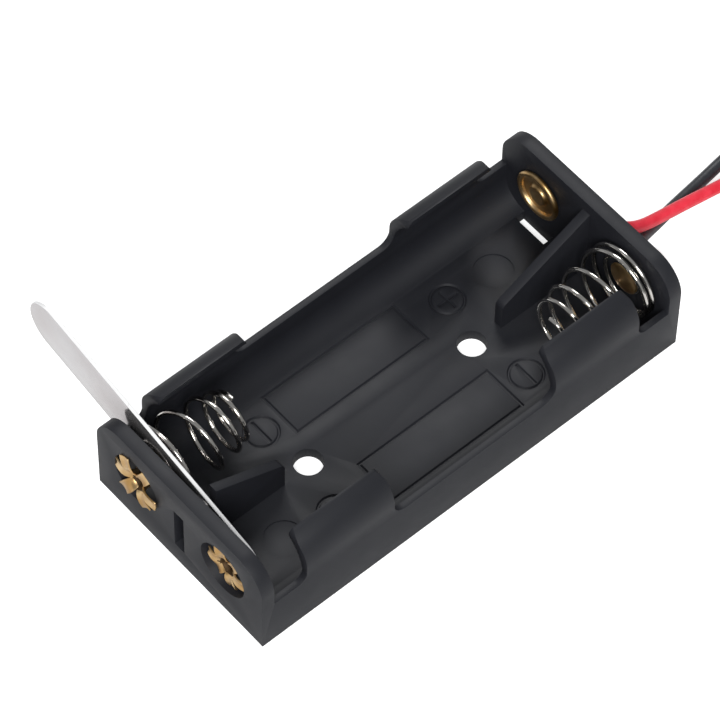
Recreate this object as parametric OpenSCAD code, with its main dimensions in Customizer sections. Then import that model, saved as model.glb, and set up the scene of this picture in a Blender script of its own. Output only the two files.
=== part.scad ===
// Holder for two cylindrical cells that lie side by side, head to tail.
// One moulded tray carries everything. A split tubular rivet through each end of each bay is
// the terminal: two of them press on the cells with a cone-shaped coil spring, and two have a
// dished head for the cell's cap. A plated link strip joins the two near terminals, and an
// insulated lead is soldered to each far one.
// X is across the bays, Y is along the cells and Z is up. Z = 0 is the underside, and the
// origin is midway between the two screw holes.

/* [Cells] */
// Diameter of the cells that the bays are made for
cell_d = 10.5; // [9.8:0.1:10.8]
// Space left all round a cell in its bay
cell_clearance = 0.1; // [0.05:0.05:0.3]

/* [Tray] */
// Length over the two end walls
tray_l = 52.5; // [51:0.5:58]
// Width over the two side walls
tray_w = 24; // [23.6:0.2:26]
// Height of the end walls and the clips
tray_h = 11.7; // [11.4:0.1:13]
// Thickness of the floor
floor_t = 1.4; // [1.2:0.1:1.8]
// Thickness of the two end walls
end_wall_t = 1.5; // [1.3:0.1:2]
// Thickness of a side wall where the bay comes closest to the outside
side_wall_t = 0.7; // [0.6:0.1:1]
// Radius of the tray's long top corners
corner_r = 3.5; // [2.5:0.1:4]
// Radius between the floor and a side wall, inside
cradle_r = 3; // [1.5:0.1:4]
// Height of the side walls between the clips
low_wall_h = 6.25; // [5.6:0.05:6.6]
// Width of the open top between the tips of the clips
mouth_w = 18.6; // [17.8:0.1:19.4]

/* [Clips] */
// Distance from the middle of the tray to the inner end of each clip
clip_start = 10.1; // [8:0.1:12]
// Length of each clip along the cell
clip_l = 10.7; // [8:0.1:11.5]
// Radius at the foot of a clip's inner end
clip_foot_r = 1.5; // [0.5:0.1:2.5]
// Radius at the foot of a clip's outer end, in the corner notch
notch_foot_r = 1.1; // [0.4:0.1:1.5]
// Radius of a clip's top corners, seen from the side
clip_tip_r = 1; // [0.4:0.1:2]

/* [Dividing ribs] */
// Thickness of the ribs that keep the cells apart
rib_t = 1; // [0.8:0.1:1.2]
// How far a rib reaches from the end wall into the tray
rib_reach = 11; // [9:0.1:12.5]
// Height of a rib at its inner end
rib_low_h = 4.9; // [3.6:0.1:6]
// Height of a rib at the end wall
rib_high_h = 10.3; // [8:0.1:10.8]
// Radius of the rib's top corner at its inner end
rib_tip_r = 1; // [0.3:0.1:1.5]
// Opening between the near end wall and its rib, where the link strip crosses
rib_gap = 2.65; // [2.2:0.05:3.5]

/* [Openings in the tray] */
// Diameter of the two screw holes
screw_hole_d = 3; // [2.5:0.1:3.4]
// Distance between the two screw holes
screw_spacing = 20.8; // [18:0.1:24]
// Width of the moulding slot through the near end wall
wall_slot_w = 1.4; // [0.8:0.1:2]
// Height of the moulding slot through the near end wall
wall_slot_h = 5.8; // [3:0.1:6]
// Height of the top of that slot above the underside
wall_slot_top = 8.4; // [7.6:0.1:9]
// Length of the slot through the floor under each dished contact
floor_slot_l = 4.2; // [3:0.1:5]
// Width of the slot through the floor under each dished contact
floor_slot_w = 1.25; // [0.8:0.05:1.6]
// Diameter of the round ejector mark in the floor under each dished contact
pin_mark_d = 4.1; // [2:0.1:5]
// Depth of the ejector marks
pin_mark_depth = 0.12; // [0.05:0.01:0.3]
// Distance from the end wall to the middle of its ejector mark
pin_mark_y = 7.1; // [6:0.05:8]
// How far an ejector mark lies towards the middle plane from its rivet
pin_mark_in = 1.3; // [0.5:0.1:1.6]

/* [Rivets] */
// How far a rivet stands outwards of the middle of its bay
rivet_out = 0.35; // [0:0.05:0.4]
// How far a rivet stands below the middle of its bay
rivet_drop = 0.15; // [0:0.05:0.3]
// Outer radius of a rivet's barrel
barrel_r = 1.1; // [0.9:0.05:1.3]
// Thickness of the rivets' sheet brass
brass_t = 0.22; // [0.18:0.01:0.24]
// Radius of the round recess in the outside of the end wall
recess_r = 3.1; // [2.8:0.1:3.4]
// Depth of that recess
recess_depth = 0.9; // [0.6:0.05:1]
// Radius in which a petal of the split end rolls outwards
petal_roll_r = 0.85; // [0.6:0.05:0.95]
// The same on the near left rivet, whose petals stand out of their recess
proud_roll_r = 1.05; // [0.95:0.05:1.05]
// Number of petals
petals = 6; // [4:1:6]
// Width of the split between two petals
petal_gap = 0.6; // [0.4:0.05:0.7]
// Outer radius of the dished head that meets a cell's cap
dish_r = 2.85; // [2.4:0.05:3]
// How far the dished head stands off the end wall
dish_h = 0.74; // [0.66:0.02:0.8]
// Radius of the domed head that holds a spring
dome_r = 1.8; // [1.7:0.05:2.2]
// Rise of that dome above its edge
dome_h = 0.28; // [0.1:0.02:0.3]

/* [Springs] */
// Wire diameter
wire_d = 0.5; // [0.4:0.02:0.54]
// Mean radius of the widest turn
spring_wide_r = 4; // [3.6:0.1:4.1]
// Mean radius of the last turn
spring_tip_r = 2.4; // [2:0.1:3]
// Free height from the end wall
spring_free_h = 10.6; // [9:0.1:11.5]

/* [Link strip] */
// Width of the strip
strip_w = 6; // [5:0.1:6.2]
// Length over its two round ends
strip_l = 35; // [32:0.1:36]
// Thickness of the strip
strip_t = 0.4; // [0.3:0.05:0.5]
// How far the strip rises towards its free end, in degrees
strip_tilt = 10.3; // [10:0.1:11]
// How far the strip sticks out past the side of the tray
strip_out = 13.3; // [11:0.1:14]
// Space between the strip and the end wall where the strip crosses the side wall
strip_gap = 1.09; // [1.06:0.01:1.12]

/* [Leads] */
// Diameter over a lead's insulation
lead_d = 1.3; // [1.2:0.1:1.6]
// Diameter of the tinned conductor
tinned_d = 0.9; // [0.6:0.1:1]
// Length of the bare tinned end
tinned_l = 5; // [3:0.5:6]
// Radius of the solder that holds a lead on its rivet
solder_r = 1.7; // [1.5:0.1:2]
// Inner radius of a coiled lead's turns
coil_inner_r = 5.3; // [5:0.1:6]
// Outer radius of a coiled lead's turns
coil_outer_r = 10.1; // [9:0.1:11]

/* [Hidden] */

$fn = 48;
eps = 0.01;
over = 1;                                  // how far a cut runs past the face that it opens
touch = 0.03;                              // running space between faces that only touch

half_l = tray_l / 2;
half_w = tray_w / 2;
wall_y = half_l - end_wall_t;              // inner face of an end wall
bay_r = cell_d / 2 + cell_clearance;
inner_x = half_w - side_wall_t;            // where a bay comes closest to the outside
bay_x = inner_x - bay_r;
bay_z = floor_t + bay_r;
rivet_x = bay_x + rivet_out;
rivet_z = bay_z - rivet_drop;
recess_y = half_l - recess_depth;          // bottom of a rivet recess
clip_end = clip_start + clip_l;
rib_y = wall_y - rib_reach;                // inner end of a rib

plastic = [0.10, 0.10, 0.11];
brass = [0.80, 0.62, 0.30];
nickel = [0.78, 0.78, 0.80];
tin = [0.70, 0.71, 0.73];
red = [0.90, 0.10, 0.15];
black = [0.06, 0.06, 0.07];

// Stands a profile drawn in X and Z up, l long and centred along Y.
module along_y(l) {
    rotate([90, 0, 0]) linear_extrude(l, center = true) children();
}

// Stands a profile drawn in Y and Z up, from X = 0 to X = l.
module along_x(l) {
    rotate([90, 0, 90]) linear_extrude(l) children();
}

// Turns a profile of radius and height about the axis of the rivet at (x, side), and points
// its height into the bay. Side is -1 at the near end wall and 1 at the far one.
module at_wall(x, side) {
    translate([x, side * wall_y, rivet_z]) rotate([side * 90, 0, 0]) children();
}

// ---- Tray ----

module outer_profile() {
    translate([-half_w, 0]) square([tray_w, tray_h - corner_r]);
    translate([-half_w + corner_r, 0]) square([tray_w - 2 * corner_r, tray_h]);
    for (side = [-1, 1])
        translate([side * (half_w - corner_r), tray_h - corner_r]) circle(corner_r);
}

// The hollow: a flat floor, a rounded corner along each side wall, the upper half of each
// bay's circle under the clips, and the open mouth.
module hollow_profile() {
    flat_x = inner_x - cradle_r;
    translate([-flat_x, floor_t]) square([2 * flat_x, bay_r]);
    translate([-inner_x, floor_t + cradle_r]) square([2 * inner_x, bay_r - cradle_r]);
    translate([-bay_x, bay_z - eps]) square([2 * bay_x, tray_h]);
    translate([-mouth_w / 2, bay_z - eps]) square([mouth_w, tray_h]);
    for (side = [-1, 1]) {
        translate([side * flat_x, floor_t + cradle_r]) circle(cradle_r);
        intersection() {
            translate([side * bay_x, bay_z]) circle(bay_r);
            translate([-half_w, bay_z - eps]) square([tray_w, tray_h]);
        }
    }
}

// Side view of the clip on the positive side of the middle, with its rounded feet.
module clip_side() {
    tip_z = tray_h + over;
    difference() {
        union() {
            translate([clip_start, 0]) square([clip_l, tip_z]);
            translate([clip_start - clip_foot_r, low_wall_h - eps]) square([clip_foot_r + eps, clip_foot_r]);
            translate([clip_end - eps, low_wall_h - eps]) square([notch_foot_r + eps, notch_foot_r]);
        }
        translate([clip_start - clip_foot_r, low_wall_h + clip_foot_r]) circle(clip_foot_r);
        translate([clip_end + notch_foot_r, low_wall_h + notch_foot_r]) circle(notch_foot_r);
        for (tip = [[clip_start, 1], [clip_end, -1]])
            translate([tip[0], tray_h - clip_tip_r])
                difference() {
                    translate([tip[1] > 0 ? -eps : -clip_tip_r, 0]) square([clip_tip_r + eps, 3 * clip_tip_r]);
                    translate([tip[1] * clip_tip_r, 0]) circle(clip_tip_r);
                }
    }
}

// What is cut from the side walls above their low edge, as seen from the side.
module side_cut() {
    difference() {
        translate([-wall_y, low_wall_h]) square([2 * wall_y, tray_h]);
        clip_side();
        mirror([1, 0]) clip_side();
    }
}

// Side view of a rib on the positive side, from its inner end to y_end. The top slopes, and the
// circle at its inner end touches the slope and the end face.
module rib_side(y_end) {
    slope = (rib_high_h - rib_low_h) / rib_reach;
    tip_z = rib_low_h + rib_tip_r * (slope - sqrt(1 + slope * slope));
    hull() {
        polygon([
            [rib_y, floor_t - eps],
            [y_end, floor_t - eps],
            [y_end, rib_low_h + slope * (y_end - rib_y)]
        ]);
        translate([rib_y + rib_tip_r, tip_z]) circle(rib_tip_r);
    }
}

module tray() {
    color(plastic)
    difference() {
        union() {
            difference() {
                along_y(tray_l) outer_profile();
                along_y(2 * wall_y) hollow_profile();
                for (x = [-half_w - over, mouth_w / 2 - over])
                    translate([x, 0, 0]) along_x(half_w - mouth_w / 2 + 2 * over) side_cut();
            }
            translate([-rib_t / 2, 0, 0]) along_x(rib_t) rib_side(wall_y + eps);
            translate([-rib_t / 2, 0, 0]) along_x(rib_t) mirror([1, 0]) rib_side(wall_y - rib_gap);
        }
        for (side = [-1, 1]) {
            translate([0, side * screw_spacing / 2, -over])
                cylinder(h = floor_t + 2 * over, d = screw_hole_d);
            // The dished contact is in the right bay at the near end and the left one at the far end.
            translate([-side * rivet_x - floor_slot_l / 2, side > 0 ? wall_y - floor_slot_w : -wall_y, -over])
                cube([floor_slot_l, floor_slot_w, floor_t + 2 * over]);
            translate([-side * (rivet_x - pin_mark_in), side * (wall_y - pin_mark_y), floor_t - pin_mark_depth])
                cylinder(h = over, d = pin_mark_d);
            for (x = [-rivet_x, rivet_x])
                at_wall(x, side) {
                    translate([0, 0, -end_wall_t - over]) cylinder(h = end_wall_t + 2 * over, r = barrel_r + touch);
                    translate([0, 0, -end_wall_t - over]) cylinder(h = recess_depth + over, r = recess_r);
                }
        }
        translate([-wall_slot_w / 2, -half_l - over, wall_slot_top - wall_slot_h])
            cube([wall_slot_w, end_wall_t + 2 * over, wall_slot_h]);
    }
}

// ---- Rivets ----
// Each is one piece of sheet brass, drawn as a profile of radius and height above the inner
// face of the end wall and turned about the rivet's axis.

web_t = end_wall_t - recess_depth;         // wall left under a recess

// Barrel through the wall, and the rolled-over end before it is split.
module barrel_profile(top, roll_r) {
    roll_x = barrel_r - brass_t + roll_r;
    translate([barrel_r - brass_t, -web_t]) square([brass_t, web_t + top]);
    translate([0, -web_t])
        difference() {
            translate([roll_x, 0]) circle(roll_r);
            translate([roll_x, 0]) circle(roll_r - brass_t);
            translate([-eps, 0]) square([2 * recess_r, 2 * roll_r]);
        }
}

module splits() {
    for (i = [0:petals - 1])
        rotate((i + 0.5) * 360 / petals)
            translate([barrel_r + 0.1, -petal_gap / 2, -end_wall_t - over])
                cube([2 * recess_r, petal_gap, over + recess_depth - touch]);
}

module turned_rivet(top, roll_r) {
    difference() {
        rotate_extrude() {
            barrel_profile(top, roll_r);
            children();
        }
        splits();
    }
}

// Spring rivet: its domed head clamps the spring's end loop.
module spring_rivet(x, side, roll_r) {
    head_z = wire_d + 2 * touch;
    rim_t = 0.12;
    ball = (dome_r * dome_r + dome_h * dome_h) / (2 * dome_h);
    color(brass) at_wall(x, side)
        turned_rivet(head_z + rim_t, roll_r) {
            translate([0, head_z]) square([dome_r, rim_t]);
            intersection() {
                translate([0, head_z + rim_t + dome_h - ball]) circle(ball, $fn = 96);
                translate([0, head_z + rim_t - eps]) square([dome_r, dome_h + 1]);
            }
        }
}

// Contact rivet: a shallow dish with a rolled rim, and a raised ring in the middle.
module contact_rivet(x, side) {
    rim_r = 0.3;
    hub_r = 1.15;
    hub_ring_r = 0.24;
    color(brass) at_wall(x, side)
        turned_rivet(touch + brass_t, petal_roll_r) {
            translate([0, touch]) square([dish_r - rim_r, brass_t]);
            translate([dish_r - rim_r, dish_h - rim_r]) circle(rim_r);
            translate([0, touch]) square([hub_r - hub_ring_r, brass_t + hub_ring_r / 2]);
            translate([hub_r - hub_ring_r, touch + brass_t + hub_ring_r / 2]) circle(hub_ring_r);
        }
}

// ---- Swept wire ----

function unit(v) = v / norm(v);
function tangent(path, i) = unit(path[min(i + 1, len(path) - 1)] - path[max(i - 1, 0)]);
function ring(path, i, r, sides, up) =
    let (t = tangent(path, i), a = unit(cross(t, up)), b = cross(t, a))
    [for (k = [0:sides - 1]) path[i] + r * (cos(360 * k / sides) * a + sin(360 * k / sides) * b)];

// A round wire along a path. Up is any direction that the path never runs along.
module wire(path, r, sides, up) {
    last = len(path) - 1;
    polyhedron(
        points = [for (i = [0:last]) each ring(path, i, r, sides, up)],
        faces = concat(
            [[for (k = [0:sides - 1]) k]],
            [for (i = [0:last - 1], k = [0:sides - 1])
                let (a = i * sides, b = a + sides, n = (k + 1) % sides)
                [a + k, b + k, b + n, a + n]],
            [[for (k = [sides - 1:-1:0]) last * sides + k]]
        )
    );
}

// ---- Springs ----
// A turn is counted from the top of the coil. Turns 0 to 1 are the small loop under the
// rivet's flange, and the last one is the tip that meets the cell.

loop_r = barrel_r + touch + wire_d / 2;
spring_turns = 7;
spring_steps = 18;                         // rings in each turn

// Mean radius of the wire after so many turns.
spring_radius = [
    [0, loop_r],
    [1, loop_r + wire_d + touch],
    [1.6, spring_wide_r],
    [3.4, spring_wide_r],
    [7, spring_tip_r]
];

// Share of the free height after so many turns: where nothing is in the way, and where the
// link strip lies between the first turn and the second.
free_rise = [[1.2, 0], [2, 0.04], [3, 0.12], [4, 0.42], [5, 0.66], [6, 0.83], [7, 1]];
strip_rise = [[1.2, 0], [2.35, 0.036], [2.68, 0.168], [3.3, 0.18], [4, 0.5], [5, 0.78], [6, 0.93], [7, 1]];

function spring_path(rise) = [
    for (s = [0:spring_turns * spring_steps])
        let (t = s / spring_steps, r = lookup(t, spring_radius), a = 360 * t)
        [
            r * sin(a),
            r * cos(a),
            wire_d / 2 + touch + lookup(t, rise) * (spring_free_h - wire_d - touch)
        ]
];

module spring(x, side, rise) {
    color(nickel)
    translate([x, side * wall_y, rivet_z])
        rotate([0, 0, side > 0 ? 180 : 0])
            rotate([-90, 0, 0]) mirror([0, 1, 0])
                wire(spring_path(rise), wire_d / 2, 8, [0, 0, 1]);
}

// ---- Link strip ----
// It stands on edge: it leans on the rim of the near dished contact, crosses the near spring
// behind its first wide turn, rests on the low edge of the left side wall and rises past it.

module link_strip() {
    round_r = strip_w / 2;
    run = strip_l - strip_w;
    // Along the strip, from the side wall's inner edge to the centre of the free round end.
    reach = (strip_out + side_wall_t - round_r) / cos(strip_tilt) + round_r * tan(strip_tilt);
    // Turned so that its other end meets the rim of the dish.
    lean = atan((strip_gap - dish_h - touch) / (inner_x + rivet_x + dish_r));
    color(nickel)
    translate([-inner_x, -wall_y + strip_gap, low_wall_h + touch])
        rotate([90, strip_tilt, -lean]) mirror([0, 0, 1])
            linear_extrude(strip_t) {
                translate([-reach, 0]) square([run, strip_w]);
                for (x = [-reach, run - reach]) translate([x, round_r]) circle(round_r, $fn = 96);
            }
}

// ---- Solder and leads ----

crest = recess_y + petal_roll_r;           // highest line of a far rivet's rolled petals
lead_y = crest + 2 * touch + lead_d / 2;   // a soldered lead lies on that line

// Solder fills the rivet's barrel and domes over its petals.
module solder(x) {
    depth = 1.2;
    ball = (solder_r * solder_r + lead_d * lead_d) / (2 * lead_d);
    color(tin)
    translate([x, crest + touch, rivet_z]) rotate([-90, 0, 0])
        rotate_extrude() {
            translate([0, -depth]) square([barrel_r - brass_t - touch, depth + eps]);
            intersection() {
                translate([0, lead_d - ball]) circle(ball, $fn = 96);
                square([solder_r, lead_d + 1]);
            }
        }
}

// Routes of the two leads, from the solder to the tangent of the coil.
red_route = [
    [-6.3, 0, 6.6], [-4.8, 0, 6.6], [-3, 0, 6.55], [-1.2, 0.1, 6.4], [0.2, 0.5, 6.2],
    [1.25, 1.3, 5.9], [1.9, 2.4, 5.5], [2.2, 3.8, 5.05], [2.25, 6.1, 4.4], [2.2, 9.1, 3.5],
    [2.1, 12.6, 2.3], [2.05, 15.6, 1.35], [2, 18.1, 0.85], [2, 20.6, 0.68], [2, 24.1, 0.68]
];
black_route = [
    [6.3, 0, 6.6], [5.3, 0.1, 6.35], [4.3, 0.55, 5.8], [3.5, 1.4, 5.05], [2.9, 2.5, 4.25],
    [2.35, 3.9, 3.5], [1.85, 5.6, 2.8], [1.3, 7.8, 2.2], [0.7, 10.6, 1.6], [0.15, 13.6, 1.1],
    [-0.35, 16.6, 0.8], [-0.75, 19.6, 0.68], [-1.1, 23.6, 0.68], [-1.2, 27.6, 0.68], [-1.2, 31.6, 0.68],
    [-1.2, 35.6, 0.68], [-1.2, 41.5, 0.68]
];
// Routes start on the rivets' axes, where a lead lies against the petals.
// They follow a moved rivet over their first 8 mm.
function placed(route) =
    let (
        start = route[0],
        move_x = sign(start[0]) * rivet_x - start[0],
        move_z = rivet_z - start[2]
    )
    [for (p = route)
        let (share = max(0, 1 - p[1] / 8))
        [p[0] + share * move_x, p[1] + lead_y, p[2] + share * move_z]];

coil_mid_r = coil_outer_r - lead_d / 2;

module lead(route) {
    wire(placed(route), lead_d / 2, 8, [0.1, 0, 1]);
}

// The turns of a coiled lead, which winds towards the side given, round its centre.
module coil(route, turn) {
    end = placed(route)[len(route) - 1];
    translate([end[0] + turn * coil_mid_r, end[1], 0])
        rotate_extrude($fn = 72)
            translate([coil_inner_r, touch]) square([coil_outer_r - coil_inner_r, lead_d]);
}

// The bare end leaves the innermost turn, where the lead's length ends, and lies inside the coil.
module tinned_end(route, turn, angle) {
    end = placed(route)[len(route) - 1];
    color(tin)
    translate([end[0] + turn * coil_mid_r, end[1], lead_d / 2 + touch])
        rotate(angle)
            translate([coil_inner_r + 0.25, 0, 0])
                rotate([0, 90, -turn * 125]) cylinder(h = tinned_l, d = tinned_d);
}

tray();
spring(-rivet_x, -1, strip_rise);  // near_left_spring
spring(rivet_x, 1, free_rise);  // far_right_spring
spring_rivet(-rivet_x, -1, proud_roll_r);  // near_left_rivet
spring_rivet(rivet_x, 1, petal_roll_r);  // far_right_rivet
contact_rivet(rivet_x, -1);  // near_right_contact
contact_rivet(-rivet_x, 1);  // far_left_contact
link_strip();
solder(-rivet_x);  // red_solder
solder(rivet_x);  // black_solder
color(red) lead(red_route);  // red_lead
color(black) lead(black_route);  // black_lead
color(red) coil(red_route, 1);  // red_coil
color(black) coil(black_route, -1);  // black_coil
tinned_end(red_route, 1, 30);  // red_tinned_end
tinned_end(black_route, -1, 36);  // black_tinned_end
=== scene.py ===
# %% [markdown]
# # A holder for two cells, dressed on its solid model
#
# The solid model of this holder is already made, and it is the fixed frame here: a black moulded
# tray, four split brass rivets, two cone springs, a plated link strip and two soldered leads.
# This lesson gives each of them its finish, and makes again, finer, the pieces whose solids are
# plain: the leads, the springs, the petals of the rivets, the solder and the engraved marks.

# %% The frame
import bmesh
import bpy
import math
from mathutils import Matrix, Vector


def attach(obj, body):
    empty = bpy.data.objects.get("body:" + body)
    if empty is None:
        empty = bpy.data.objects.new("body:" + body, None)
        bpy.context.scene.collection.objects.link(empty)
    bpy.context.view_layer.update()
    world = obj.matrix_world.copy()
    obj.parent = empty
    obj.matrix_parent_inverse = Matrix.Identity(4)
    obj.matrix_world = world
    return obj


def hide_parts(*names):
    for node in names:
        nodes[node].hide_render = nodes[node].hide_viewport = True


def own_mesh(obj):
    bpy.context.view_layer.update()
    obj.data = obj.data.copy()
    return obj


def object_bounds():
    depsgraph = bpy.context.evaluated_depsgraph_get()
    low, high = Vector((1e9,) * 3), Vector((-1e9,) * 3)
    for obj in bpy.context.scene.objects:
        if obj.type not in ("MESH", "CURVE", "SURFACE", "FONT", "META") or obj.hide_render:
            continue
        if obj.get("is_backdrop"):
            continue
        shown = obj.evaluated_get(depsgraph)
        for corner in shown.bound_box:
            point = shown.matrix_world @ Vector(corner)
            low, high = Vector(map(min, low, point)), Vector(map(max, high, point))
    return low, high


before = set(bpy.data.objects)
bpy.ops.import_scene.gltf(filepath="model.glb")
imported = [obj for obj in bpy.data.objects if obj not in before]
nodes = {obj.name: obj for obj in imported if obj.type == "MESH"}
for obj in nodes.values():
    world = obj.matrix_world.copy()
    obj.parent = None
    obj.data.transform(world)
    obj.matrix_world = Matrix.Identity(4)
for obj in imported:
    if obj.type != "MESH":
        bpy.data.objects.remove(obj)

cad_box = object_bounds()
print("CAD nodes:", sorted(nodes))

# %% [markdown]
# ## Millimetres
#
# Blender works in metres and a holder this small is easier to think of in millimetres. One short
# function turns a point given in millimetres into Blender's units, and everything below uses it.
# The others take up what is done again and again: they put a new object in the scene, open a mesh
# for editing by hand and write it back.

# %% Units and the holder's main sizes
MM = 0.001


def mm(x, y, z):
    return Vector((x * MM, y * MM, z * MM))


def add_object(name, data):
    obj = bpy.data.objects.new(name, data)
    bpy.context.scene.collection.objects.link(obj)
    return obj


def open_mesh(mesh):
    work = bmesh.new()
    work.from_mesh(mesh)
    return work


def close_mesh(work, mesh):
    work.to_mesh(mesh)
    work.free()


WALL_Y = 24.75                # inner faces of the two end walls
RECESS_Y = 25.35              # bottom of the recess round each rivet's split end
SOLDER_Y = RECESS_Y + 0.85    # foot of the solder, over the spread petals
RIVET_X, RIVET_Z = 6.3, 6.6
FLOOR_Z = 1.4
LEAD_R = 0.65
LEAD_LENGTH = 150.0

# %% [markdown]
# ## The camera
#
# A small object pictured from far away with a long lens has almost parallel edges. The camera
# stands 46 cm off, with a 240 mm lens, and looks down 57 degrees from the holder's near right.
# Its three axes are written out as vectors, because a camera is just a place and three axes.

# %% Camera
AZIMUTH, ELEVATION, ROLL = 48.2354, 56.6776, 1.099         # degrees
RIGHTWARD, UPWARD, BACKWARD = -2.9423, 4.8326, 461.2608    # mm from the origin, on its own axes
LENS, SENSOR = 239.968825, 36                              # mm


def camera_axes(azimuth, elevation, roll):
    az, el, ro = (math.radians(a) for a in (azimuth, elevation, roll))
    back = Vector((math.sin(az) * math.cos(el), -math.cos(az) * math.cos(el), math.sin(el)))
    right = Vector((0, 0, 1)).cross(back).normalized()
    up = back.cross(right)
    return (math.cos(ro) * right + math.sin(ro) * up,
            math.cos(ro) * up - math.sin(ro) * right, back)


right, up, back = camera_axes(AZIMUTH, ELEVATION, ROLL)
place = right * RIGHTWARD * MM + up * UPWARD * MM + back * BACKWARD * MM
camera_data = bpy.data.cameras.new("camera")
camera_data.sensor_width = SENSOR
camera_data.lens = LENS
camera_data.clip_start = 0.01
camera = add_object("camera", camera_data)
camera.matrix_world = Matrix((
    (right.x, up.x, back.x, place.x),
    (right.y, up.y, back.y, place.y),
    (right.z, up.z, back.z, place.z),
    (0, 0, 0, 1),
))
bpy.context.scene.camera = camera
print(f"camera at {[round(c, 3) for c in place]} m, lens {camera_data.lens:.0f} mm")

# %% [markdown]
# ## A tube along a path, with Geometry Nodes
#
# A lead and a spring are the same thing to a computer: a round section carried along a line. The
# tree below does just that. It takes the line's radius and the number of sides as named inputs,
# closes both ends, smooths the faces and sets the material, so each wire below is one call.

# %% Tree: round wire
def new_tree(name, inputs):
    tree = bpy.data.node_groups.new(name, "GeometryNodeTree")
    tree.interface.new_socket("Geometry", in_out="INPUT", socket_type="NodeSocketGeometry")
    for label, kind, value in inputs:
        socket = tree.interface.new_socket(label, in_out="INPUT", socket_type=kind)
        if value is not None:
            socket.default_value = value
    tree.interface.new_socket("Geometry", in_out="OUTPUT", socket_type="NodeSocketGeometry")
    return tree, tree.nodes.new("NodeGroupInput"), tree.nodes.new("NodeGroupOutput")


def link(tree, source, target):
    tree.links.new(source, target)


def input_names(tree):
    return [s.name for s in tree.interface.items_tree if s.in_out == "INPUT"]


def wire_tree():
    tree, given, result = new_tree("round_wire", [
        ("Radius", "NodeSocketFloat", 0.001),
        ("Sides", "NodeSocketInt", 12),
        ("Finish", "NodeSocketMaterial", None),
    ])
    section = tree.nodes.new("GeometryNodeCurvePrimitiveCircle")
    sweep = tree.nodes.new("GeometryNodeCurveToMesh")
    sweep.inputs["Fill Caps"].default_value = True
    smooth = tree.nodes.new("GeometryNodeSetShadeSmooth")
    real = tree.nodes.new("GeometryNodeRealizeInstances")
    paint = tree.nodes.new("GeometryNodeSetMaterial")
    link(tree, given.outputs["Geometry"], sweep.inputs["Curve"])
    link(tree, given.outputs["Radius"], section.inputs["Radius"])
    link(tree, given.outputs["Sides"], section.inputs["Resolution"])
    link(tree, section.outputs["Curve"], sweep.inputs["Profile Curve"])
    link(tree, sweep.outputs["Mesh"], smooth.inputs["Geometry"])
    link(tree, smooth.outputs["Geometry"], real.inputs["Geometry"])
    link(tree, real.outputs["Geometry"], paint.inputs["Geometry"])
    link(tree, given.outputs["Finish"], paint.inputs["Material"])
    link(tree, paint.outputs["Geometry"], result.inputs["Geometry"])
    return tree


round_wire = wire_tree()
print("round wire inputs:", input_names(round_wire))

# %% [markdown]
# ## Keeping what a tree makes
#
# A tree is a recipe that Blender follows again each time. These helpers run one, keep the result
# as a plain mesh that later steps can edit, and turn its faces outwards.

# %% Helpers: settle and wire
def evaluated_mesh(obj):
    """What the object's modifiers make of it, as a mesh of its own."""
    bpy.context.view_layer.update()
    evaluated = obj.evaluated_get(bpy.context.evaluated_depsgraph_get())
    return bpy.data.meshes.new_from_object(evaluated)


def settle(obj, tree, values):
    """Runs the tree on obj with these named inputs, and keeps the result as a plain mesh."""
    modifier = obj.modifiers.new(tree.name, "NODES")
    modifier.node_group = tree
    sockets = {s.name: s.identifier for s in tree.interface.items_tree if s.in_out == "INPUT"}
    for label, value in values.items():
        modifier[sockets[label]] = value
    mesh = evaluated_mesh(obj)
    name = obj.name
    bpy.data.objects.remove(obj)
    made = add_object(name, mesh)
    mesh.name = name
    return made


def line_object(name, points):
    curve = bpy.data.curves.new(name, "CURVE")
    curve.dimensions = "3D"
    curve.twist_mode = "MINIMUM"
    spline = curve.splines.new("POLY")
    spline.points.add(len(points) - 1)
    for spot, point in zip(spline.points, points):
        spot.co = (*point, 1)
    return add_object(name, curve)


def face_outwards(mesh):
    work = open_mesh(mesh)
    bmesh.ops.recalc_face_normals(work, faces=work.faces)
    close_mesh(work, mesh)


def wire(name, points, radius, sides, material):
    made = settle(line_object(name, points), round_wire,
                  {"Radius": radius, "Sides": sides, "Finish": material})
    face_outwards(made.data)
    return made


print("a wire takes a line, its radius in metres, its number of sides and its material")

# %% [markdown]
# ## Finishes, part one: a small builder
#
# Every finish here is a Principled shader with its plain numbers set on its own sockets, and one
# or two noise patterns in Object coordinates that vary the colour, the roughness and the surface.
# A finish that is the same everywhere looks like paint on a screen; real plastic and metal don't.

# %% Builder for a finish
NOISE_LOW, NOISE_HIGH = 0.3, 0.7    # a noise pattern hardly ever goes beyond these


def linear(r, g, b):
    """Colour as a paint chart gives it, 0 to 255, in Blender's linear light."""
    return tuple(((c / 255 + 0.055) / 1.055) ** 2.4 if c > 10 else c / 3295
                 for c in (r, g, b)) + (1,)


def shader_of(material):
    return material.node_tree.nodes["Principled BSDF"]


def finish(name, sockets):
    material = bpy.data.materials.new(name)
    material.use_nodes = True
    for label, value in sockets.items():
        shader_of(material).inputs[label].default_value = value
    return material


def pattern(material, scale, stretch=(1, 1, 1), detail=3.0):
    """A noise pattern on Object coordinates. Scale is in repeats per metre."""
    tree = material.node_tree
    where = tree.nodes.new("ShaderNodeTexCoord")
    mapping = tree.nodes.new("ShaderNodeMapping")
    mapping.inputs["Scale"].default_value = stretch
    noise = tree.nodes.new("ShaderNodeTexNoise")
    noise.inputs["Scale"].default_value = scale
    noise.inputs["Detail"].default_value = detail
    link(tree, where.outputs["Object"], mapping.inputs["Vector"])
    link(tree, mapping.outputs["Vector"], noise.inputs["Vector"])
    return noise.outputs["Fac"]


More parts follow.
